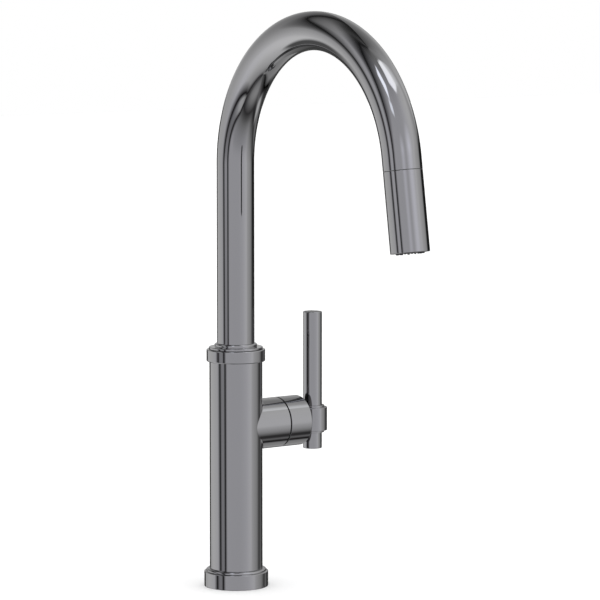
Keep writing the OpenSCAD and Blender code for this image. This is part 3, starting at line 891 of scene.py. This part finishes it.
def build_hub():
    """The turning hub: a cup with rounded rims, and a slot in its end that the arm tilts in."""
    steps, edge, rim, slot_edge = 192, 0.3 * MM, 0.5 * MM, 0.35 * MM
    skin = Skin(BOSS_AXIS)
    length = SLOT_HIGH - SLOT_LOW + 2 * SLOT_R
    middle = -(SLOT_HIGH + SLOT_LOW) / 2
    around = around_z(full_turn(steps, -math.pi / 2))

    def slot_ring(offset, along, lean):
        """A ring round the slot; lean turns the normal from along the axis to across the slot."""
        ring = []
        for k in range(steps):
            (p, q), (np, nq) = stadium(2 * SLOT_R, length, offset, k / steps)
            normal = Vector((-nq * math.sin(lean), np * math.sin(lean), math.cos(lean)))
            ring.append(skin.corner((q + middle, -p, along), normal))
        return ring

    inner_face = slot_ring(0, HUB_END - HUB_WALL, 0)
    ring = skin.follow(inner_face, around, [
        (HUB_BORE_R, HUB_END - HUB_WALL, DOWN), (HUB_BORE_R, HUB_START, BACK),
        (BOSS_R - edge, HUB_START, DOWN), *arc_steps(BOSS_R - edge, HUB_START + edge, edge, -math.pi / 2, 0),
        (BOSS_R, HUB_END - rim, OUT), *arc_steps(BOSS_R - rim, HUB_END - rim, rim, 0, math.pi / 2, 8),
    ])
    bends = []
    for s in range(6):
        a = math.pi / 2 * s / 5
        bends.append(slot_ring(slot_edge * (1 - math.sin(a)), HUB_END - slot_edge * (1 - math.cos(a)), -a))
    skin.strip(facing(ring, (0, 0, 1)), bends[0])
    ring = skin.strips(bends)
    skin.strip(ring, [(vertex, normal) for (vertex, _), (_, normal) in zip(inner_face, ring)])
    return skin.done("hub")


stands_for(build_hub(), "handle_hub")

groove_ring = lathe(
    "groove_ring",
    [
        (NECK_R, BOSS_FACE + 0.02 * MM), (BOSS_R - 1.2 * MM, BOSS_FACE + 0.02 * MM),
        (BOSS_R - 1.2 * MM, HUB_START - 0.15 * MM), (NECK_R, HUB_START - 0.15 * MM),
    ],
    {1: 0.1 * MM, 2: 0.1 * MM}, BOSS_AXIS,
)
groove_ring.data.materials.append(MATERIALS["rubber"])
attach(groove_ring, "base")

# ---------- wand

WAND_TIP = along_wand("wand_shell")[1]
WAND_BORE_R = TUBE_R - 1.4 * MM
BUTTON_AT = sum(along_wand("spray_button")) / 2
BUTTON_L = along_wand("spray_button")[1] - along_wand("spray_button")[0]
BUTTON_W = high("spray_button").x - low("spray_button").x
BUTTON_GAP = 0.3 * MM
# The button's frame: local X points out through the wand's wall toward the column, Z runs down the wand
BUTTON_SIDE = WAND_AXIS @ Matrix.Translation((0, 0, BUTTON_AT)) @ Matrix.Rotation(-math.pi / 2, 4, "Z")


def build_wand_shell():
    skin = Skin(BUTTON_SIDE)
    turns, edge, rim = 192, 0.2 * MM, 0.25 * MM
    width, length = BUTTON_W + 2 * BUTTON_GAP, BUTTON_L + 2 * BUTTON_GAP
    top, tip = SEAM_AT - BUTTON_AT, WAND_TIP - BUTTON_AT

    def opening(radius, offset, drop, lean):
        """A ring round the button's hole at a depth below the wall's radius."""
        ring, places = [], []
        for k in range(turns):
            (y, z), (ny, nz) = stadium(width, length, offset, k / turns)
            angle = math.asin(y / radius)
            radial = Vector((math.cos(angle), math.sin(angle), 0))
            point = Vector((radius * math.cos(angle), y, z)) - radial * drop
            normal = radial * math.cos(lean) - Vector((0, ny, nz)) * math.sin(lean)
            ring.append(skin.corner(point, normal.normalized()))
            places.append((angle, z))
        return ring, places

    rim_ring, places = opening(TUBE_R, edge, 0, 0)
    lower, upper, angles = pierced_wall(skin, TUBE_R, rim_ring, places, math.radians(70), 18 * MM)
    bends = [rim_ring]
    for s in range(1, 5):
        a = math.pi / 2 * s / 4
        bends.append(opening(TUBE_R, edge * (1 - math.sin(a)), edge * (1 - math.cos(a)), a)[0])
    ring = skin.strips(bends)
    skin.inward = True
    in_rim, in_places = opening(WAND_BORE_R, 0, 0, 0)
    in_lower, in_upper, _ = pierced_wall(skin, WAND_BORE_R, in_rim, in_places, math.radians(70), 18 * MM)
    skin.inward = False
    skin.strip(ring, [(vertex, normal) for (vertex, _), (_, normal) in zip(in_rim, ring)])
    about_z = around_z(angles)
    tip_edge = arc_steps(TUBE_R - rim, tip - rim, rim, 0, math.pi / 2)
    upper = skin.follow(upper, about_z, [(TUBE_R, tip - rim, OUT), *tip_edge, (WAND_BORE_R, tip, UP)])
    skin.join(upper, in_upper, about_z, BACK)
    top_edge = arc_steps(TUBE_R - rim, top + rim, rim, -math.pi / 2, 0)
    in_lower = skin.follow(in_lower, about_z, [
        (WAND_BORE_R, top, BACK), (TUBE_R - rim, top, DOWN), *top_edge,
    ])
    skin.join(in_lower, lower, about_z, OUT)
    return skin.done("wand_casing")


stands_for(build_wand_shell(), "wand_shell")


def build_button():
    """The spray button: a bar with round ends, its face bowed like the wand, with three low grip ridges."""
    skin = Skin(BUTTON_SIDE)
    turns, edge, crown = 144, 0.7 * MM, TUBE_R + 0.45 * MM
    back_x = TUBE_R - 4 * MM

    def face_x(y, z):
        ridges = sum(math.exp(-((z - place * MM) / (0.55 * MM)) ** 2) for place in (-3, 0, 3))
        reach = max(0.0, 1 - (abs(y) / (BUTTON_W * 0.36)) ** 4)
        return math.sqrt(crown ** 2 - y * y) - 0.35 * MM + 0.35 * MM * ridges * reach

    def ring_at(offset, lean, height):
        ring = []
        for k in range(turns):
            (y, z), (ny, nz) = stadium(BUTTON_W, BUTTON_L, offset, k / turns)
            normal = Vector((math.sin(lean), ny * math.cos(lean), nz * math.cos(lean)))
            ring.append(skin.corner((height(y, z), y, z), normal))
        return ring

    rings = [ring_at(0, 0, lambda y, z: back_x)]
    skin.cap(rings[0][::-1], (back_x, 0, 0), (-1, 0, 0))
    for s in range(6):
        a = math.pi / 2 * s / 5
        drop = edge * (1 - math.sin(a))
        rings.append(ring_at(-edge * (1 - math.cos(a)), a, lambda y, z: face_x(y, z) - drop))
    for share in range(1, 13):
        shrink = 1 - share / 12.5
        inner = []
        for k in range(turns):
            (y, z), _ = stadium(BUTTON_W, BUTTON_L, -edge, k / turns)
            y, z = y * shrink, z * shrink
            slope_y = (face_x(y + 0.05 * MM, z) - face_x(y - 0.05 * MM, z)) / (0.1 * MM)
            slope_z = (face_x(y, z + 0.05 * MM) - face_x(y, z - 0.05 * MM)) / (0.1 * MM)
            inner.append(skin.corner((face_x(y, z), y, z), Vector((1, -slope_y, -slope_z)).normalized()))
        rings.append(inner)
    skin.cap(skin.strips(rings), (face_x(0, 0), 0, 0), (1, 0, 0))
    return skin.done("button")


stands_for(build_button(), "spray_button")

FACE_BACK = along_wand("spray_face")[0]
FACE_FRONT = along_wand("spray_face")[1]
FACE_R = 11.5 * MM
AERATOR_R = 5.5 * MM
PLATE_R = WAND_BORE_R - 0.1 * MM
spray_plate = lathe(
    "spray_plate",
    [
        (AERATOR_R, FACE_BACK), (PLATE_R, FACE_BACK), (PLATE_R, WAND_TIP - 1 * MM),
        (FACE_R, WAND_TIP - 1 * MM), (FACE_R, FACE_FRONT), (AERATOR_R + 0.6 * MM, FACE_FRONT),
        (AERATOR_R + 0.6 * MM, FACE_FRONT - 0.5 * MM), (AERATOR_R, FACE_FRONT - 0.5 * MM),
    ],
    {2: 0.3 * MM, 4: 0.5 * MM, 5: 0.15 * MM},
    WAND_AXIS, 144,
)
stands_for(spray_plate, "spray_face")

NOZZLE_TIP = along_wand("spray_nozzles")[1]
NOZZLE_BACK = along_wand("spray_nozzles")[0]


def build_nozzles():
    """Soft nozzles in two rings, each with a tapered tip and a fine hole."""
    skin = Skin()
    for count, circle in ((6, 7.7 * MM), (12, 10.1 * MM)):
        for i in range(count):
            a = 2 * math.pi * i / count
            skin.place = WAND_AXIS @ Matrix.Translation((circle * math.cos(a), circle * math.sin(a), 0))
            lathe(
                "", [
                    (0, NOZZLE_BACK), (0.85 * MM, NOZZLE_BACK), (0.85 * MM, NOZZLE_TIP - 0.6 * MM),
                    (0.68 * MM, NOZZLE_TIP), (0.35 * MM, NOZZLE_TIP), (0.35 * MM, NOZZLE_TIP - 1.5 * MM),
                    (0, NOZZLE_TIP - 1.5 * MM),
                ],
                {3: 0.12 * MM}, steps=32, arc_count=3, skin=skin,
            )
    return skin.done("nozzles")


stands_for(build_nozzles(), "spray_nozzles")

# The lower hose ends a hair below the upper one, which turns above it with the spout
HOSE_LOW, HOSE_MEET = low("hose_lower").z, high("hose_lower").z - 0.05 * MM
lower_hose = lathe(
    "lower_hose", [(0, HOSE_LOW), (HOSE_R, HOSE_LOW), (HOSE_R, HOSE_MEET), (0, HOSE_MEET)],
    steps=48,
)
stands_for(lower_hose, "hose_lower", material=braid("hose_braid_upright", UPRIGHT))

# The hose between the arch and the wand: it leaves the hose in the arch and reaches the nut on the wand's neck
NUT_TOP = along_wand("hose_nut")[0]
LEAVE = 0.3          # angle before the end of the arch at which the moving hose begins, in radians


def moving_hose_stations(count=60):
    start, end = arch_point(SWEEP - LEAVE), ARC_END + PULL * (NUT_TOP + 0.5 * MM)
    start_way, end_way = arch_tangent(SWEEP - LEAVE) * (end - start).length, PULL * (end - start).length
    out = []
    for k in range(count + 1):
        t = k / count
        point = (
            start * (2 * t ** 3 - 3 * t ** 2 + 1) + start_way * (t ** 3 - 2 * t ** 2 + t)
            + end * (3 * t ** 2 - 2 * t ** 3) + end_way * (t ** 3 - t ** 2)
        )
        way = (
            start * (6 * t ** 2 - 6 * t) + start_way * (3 * t ** 2 - 4 * t + 1)
            + end * (6 * t - 6 * t ** 2) + end_way * (3 * t ** 2 - 2 * t)
        )
        out.append((point, way.normalized(), HOSE_R - 0.05 * MM, 0))
    return out


moving_hose = sweep_tube("moving_hose", moving_hose_stations(), 0, 48)
moving_hose.data.materials.append(MATERIALS["hose_braid"])
arch_point(SWEEP - LEAVE)
ARC_END + PULL * NUT_TOP
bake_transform(moving_hose)

# ---------- floor and light

bpy.ops.mesh.primitive_plane_add(size=12)
floor = bpy.context.object
floor.name = "floor"
floor.visible_glossy = False
floor_material, _, floor_shader = new_material("floor")
floor_shader["Base Color"].default_value = (0.9, 0.9, 0.9, 1)
floor_shader["Roughness"].default_value = 0.9
floor.data.materials.append(floor_material)
floor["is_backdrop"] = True

# The studio is drawn in the world's nodes as light that depends on direction: az is the azimuth from the
# camera's side and el the elevation, in degrees. Only mirrored rays see it; all others see plain white.
studio = bpy.data.worlds.new("studio")
studio.use_nodes = True
scene.world = studio
world = studio.node_tree
world.nodes.clear()


def look_direction():
    where = add_node(world, "TexCoord").outputs["Generated"]
    parts = add_node(world, "SeparateXYZ", Vector=where)
    x, y, z = (Value(world, output) for output in parts.outputs)
    toward = x * -math.sin(LOOK_SIDE) + y * -math.cos(LOOK_SIDE)
    right = x * math.cos(LOOK_SIDE) + y * -math.sin(LOOK_SIDE)
    degrees = math.degrees(1)
    return calc("ARCTAN2", right, toward) * degrees, calc("ARCSINE", z) * degrees


def clamp(value):
    return calc("MINIMUM", calc("MAXIMUM", value, 0.0), 1.0)


def curve(value, *points):
    """A smooth curve through given (value, result) points."""
    xs, ys = zip(*points)
    x0, x1, y0, y1 = min(xs), max(xs), min(ys), max(ys)
    node = world.nodes.new("ShaderNodeFloatCurve")
    line = node.mapping.curves[0]
    while len(line.points) < len(points):
        line.points.new(0.5, 0.5)
    for point, (x, y) in zip(line.points, points):
        point.location = ((x - x0) / (x1 - x0), (y - y0) / (y1 - y0))
        point.handle_type = "AUTO_CLAMPED"
    node.mapping.update()
    world.links.new(clamp((value - x0) / (x1 - x0)).socket, node.inputs["Value"])
    return Value(world, node.outputs["Value"]) * (y1 - y0) + y0


def rise(value, at, soft):
    """0 below at, 1 above it, over a soft edge. at may vary with direction."""
    smooth = ("interpolation_type", "SMOOTHSTEP")
    step = add_node(world, "MapRange", smooth, Value=(value - at).socket, From_Min=-soft, From_Max=soft)
    return Value(world, step.outputs["Result"])


def patch(value, low_at, high_at, soft):
    """1 between two limits, over soft edges."""
    return rise(value, low_at, soft) * (1 - rise(value, high_at, soft))


def ramp(value, start, end):
    """A straight climb from 0 at start to 1 at end."""
    return clamp((value - start) / (end - start))


def mix(under, over, share):
    return (1 - share) * under + share * over


az, el = look_direction()

# The dark frames between the light panels: first the one right of the camera, then the one further left
near_frame = curve(
    el, (-50, -17), (-42, -18), (-36, -24), (-24, -37), (-12, -45.5), (6, -49), (24, -55), (48, -64),
    (60, -68), (72, -80),
)
far_frame = curve(
    el, (-84, -44), (-60, -25), (-48, -41), (-36, -53), (-18, -65), (-6, -74), (6, -82), (18, -97),
    (30, -112), (42, -148), (56, -178),
)
# The dark edge of the ground, which climbs behind the object on the right: its far side, then its near side
ground = curve(
    az, (-60, -44), (-32, -55), (-16, -50), (20, -49), (78, -48), (88, -40), (104, -28), (120, -11), (134, 2),
    (150, 6),
)
above_ground = el - ground
ground_near = curve(
    az, (-60, -44), (-32, -55), (-16, -50), (20, -49), (86, -49), (96, -44), (104, -31), (120, -11), (134, 2)
)
below_ground = ground_near - el

# Right panel: its brightness along its width, above the ground and toward the ceiling, and its soft start
right_az = curve(
    az, (-40, 0.98), (10, 0.98), (40, 1.06), (60, 1.22), (76, 1.32), (104, 1.38), (124, 1.3), (138, 1.1),
    (152, 0.85), (178, 0.62),
)
climb = above_ground * mix(mix(1, 0.62, rise(az, 74, 8)), 4, rise(az, 132, 10))
right_height = curve(climb, (0, 0.06), (6, 0.24), (12, 0.46), (20, 0.64), (30, 0.8), (40, 0.98), (60, 1))
right_ceiling = curve(el, (36, 1), (48, 0.93), (60, 0.76), (70, 0.58), (80, 0.46), (90, 0.34))
right_panel = right_az * right_height * right_ceiling
right_panel = mix(right_panel, right_panel * 0.72, rise(az, 125, 18) * rise(el, 36, 12))
right_start = curve(el, (-40, 8), (0, 10), (12, 14), (24, 26), (40, 38), (60, 50), (78, 75))
right_panel = right_panel * ramp(az - near_frame, 1, right_start)

# Middle strip, between the frames
middle_el = curve(
    el, (-50, 0.7), (-42, 1.05), (-32, 0.7), (-20, 0.48), (-8, 0.6), (4, 1.05), (30, 0.95), (48, 0.72),
    (60, 0.38), (74, 0.12), (84, 0.2),
)
middle_right = curve(el, (-40, 7), (-6, 7), (10, 12), (30, 17), (48, 32), (62, 36))
middle_left = curve(el, (-40, 8), (-6, 9), (12, 15), (24, 24), (36, 40), (48, 58), (66, 58))
middle_panel = middle_el * ramp(near_frame - az, 1, middle_right) * ramp(az - far_frame, 1, middle_left)

# Left panel, brightest low down, with a dark stand at its far edge and less light straight behind
left_el = curve(
    el, (-84, 0.5), (-72, 1.05), (-54, 1.35), (-30, 1.6), (-12, 1.28), (6, 0.9), (18, 0.66), (30, 0.46),
    (45, 0.16),
)
left_az = curve(az, (-180, 0.65), (-140, 0.9), (-108, 1), (-84, 0.92), (-64, 0.74), (-48, 0.6), (-34, 0.4))
left_end = curve(el, (-80, 32), (-50, 18), (-20, 14), (-4, 13), (8, 24), (24, 28), (40, 24))
left_panel = left_el * left_az * ramp(far_frame - az, 1, left_end)
left_panel = mix(left_panel, 0.18, patch(az, -152, -121, 6) * patch(el, -52, -14, 7))
left_back = patch(az, -200, -150, 6) * (1 - rise(el, -12, 6))
left_panel = mix(left_panel, curve(el, (-66, 0.8), (-42, 0.28), (-24, 0.08)), left_back)

light = right_panel + middle_panel + left_panel
light = light * curve(el, (-30, 0.98), (0, 0.97), (30, 0.93), (60, 0.9)) + 0.03

# The ground: darker toward the left, a bright patch, and a dark line where the backdrop bends
ground_az = curve(
    az, (-40, 0.12), (-16, 0.25), (0, 0.6), (20, 0.9), (60, 1.05), (88, 0.8), (100, 0.45), (114, 0.5),
    (134, 0.8),
)
ground_depth = curve(below_ground, (0, 0.05), (6, 0.26), (12, 0.5), (20, 0.66), (28, 0.56), (36, 0.36))
ground_light = mix(ground_az * ground_depth, 1.15, patch(az, 108, 127, 5) * patch(el, -44, -28, 5))
bend = curve(el, (-84, 132), (-72, 122), (-60, 120), (-50, 124), (-40, 136), (-28, 144), (-10, 146))
ground_light = ground_light * ramp(abs(az - bend), 3, 16) + 0.05
ground_light = mix(ground_light, ramp(az - bend, 3, 18) * 0.6, rise(az, bend, 2))
under = rise(above_ground * -1, 0, 1.5) * rise(az, far_frame + 4, 3)
light = mix(light, ground_light, under)

# The unlit studio straight behind the object, darkest on the right
light = mix(light, 0.09, rise(abs(az), 142, 5) * patch(el, -30, 2, 3))
light = mix(light, 0.025, patch(az, 121, 152, 4) * patch(el, -7, 7, 4))

# Overhead light boxes: a wide one on the right, and a tall leaning one and a small one in front
box_low = curve(az, (26, 62), (46, 57), (62, 52), (80, 51), (92, 49), (100, 45), (114, 41))
box_high = curve(az, (26, 78), (70, 77), (88, 73), (104, 64), (114, 52))
box_level = curve(az, (28, 2.6), (60, 3), (80, 2.9), (92, 2), (104, 1.6), (114, 1.25))
wide_box = patch(az, 29, 112, 3) * patch(el, box_low, box_high, 2)
light = mix(light, box_level, wide_box)
tall_box = patch(az * 0.42 + el * 0.9, 32.2, 46.6, 1.8) * patch(az * 0.9 + el * -0.42, -54, -28.5, 2.5)
light = mix(light, 3.1, tall_box)
small_box = patch(az, -20, -6.5, 2.5) * patch(el, 33, 41, 2)
light = mix(light, 2.4, small_box)
spots = []
for spot_az, spot_el, size, level in ((7, 14, 11, 0.5), (48, 17, 17, 0.65)):
    off_az, off_el = az - spot_az, el - spot_el
    apart = calc("SQRT", off_az * off_az * 0.6 + off_el * off_el)
    spots.append(1 - ramp(apart, 0, size))
    light = light + spots[-1] * level

# A little blue in the front panels and more in the boxes
cool = patch(az, -90, 70, 25) * patch(el, -35, 70, 12) * 0.05
boxes = clamp(wide_box * 0.3 + tall_box + small_box)
colour = add_node(
    world, "CombineColor", Red=(light * (boxes * -0.04 + 1)).socket, Green=light.socket,
    Blue=(light * (cool + boxes * 0.05 + sum(spots) * 0.05 + 1)).socket,
)
path = add_node(world, "LightPath")
plain = mix(1.35, 1, Value(world, path.outputs["Is Camera Ray"]))
choose = add_node(
    world, "Mix", ("data_type", "RGBA"), Factor=path.outputs["Is Glossy Ray"], A=plain.socket,
    B=colour.outputs["Color"],
)
background = add_node(world, "Background", Color=choose.outputs["Result"])
add_node(world, "OutputWorld", Surface=background.outputs["Background"])
scene.view_settings.view_transform = "Standard"

# ---------- the two boxes

boxes = {"cad_box": cad_box, "visual_box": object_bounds()}
{name: [list(corner) for corner in box] for name, box in boxes.items()}
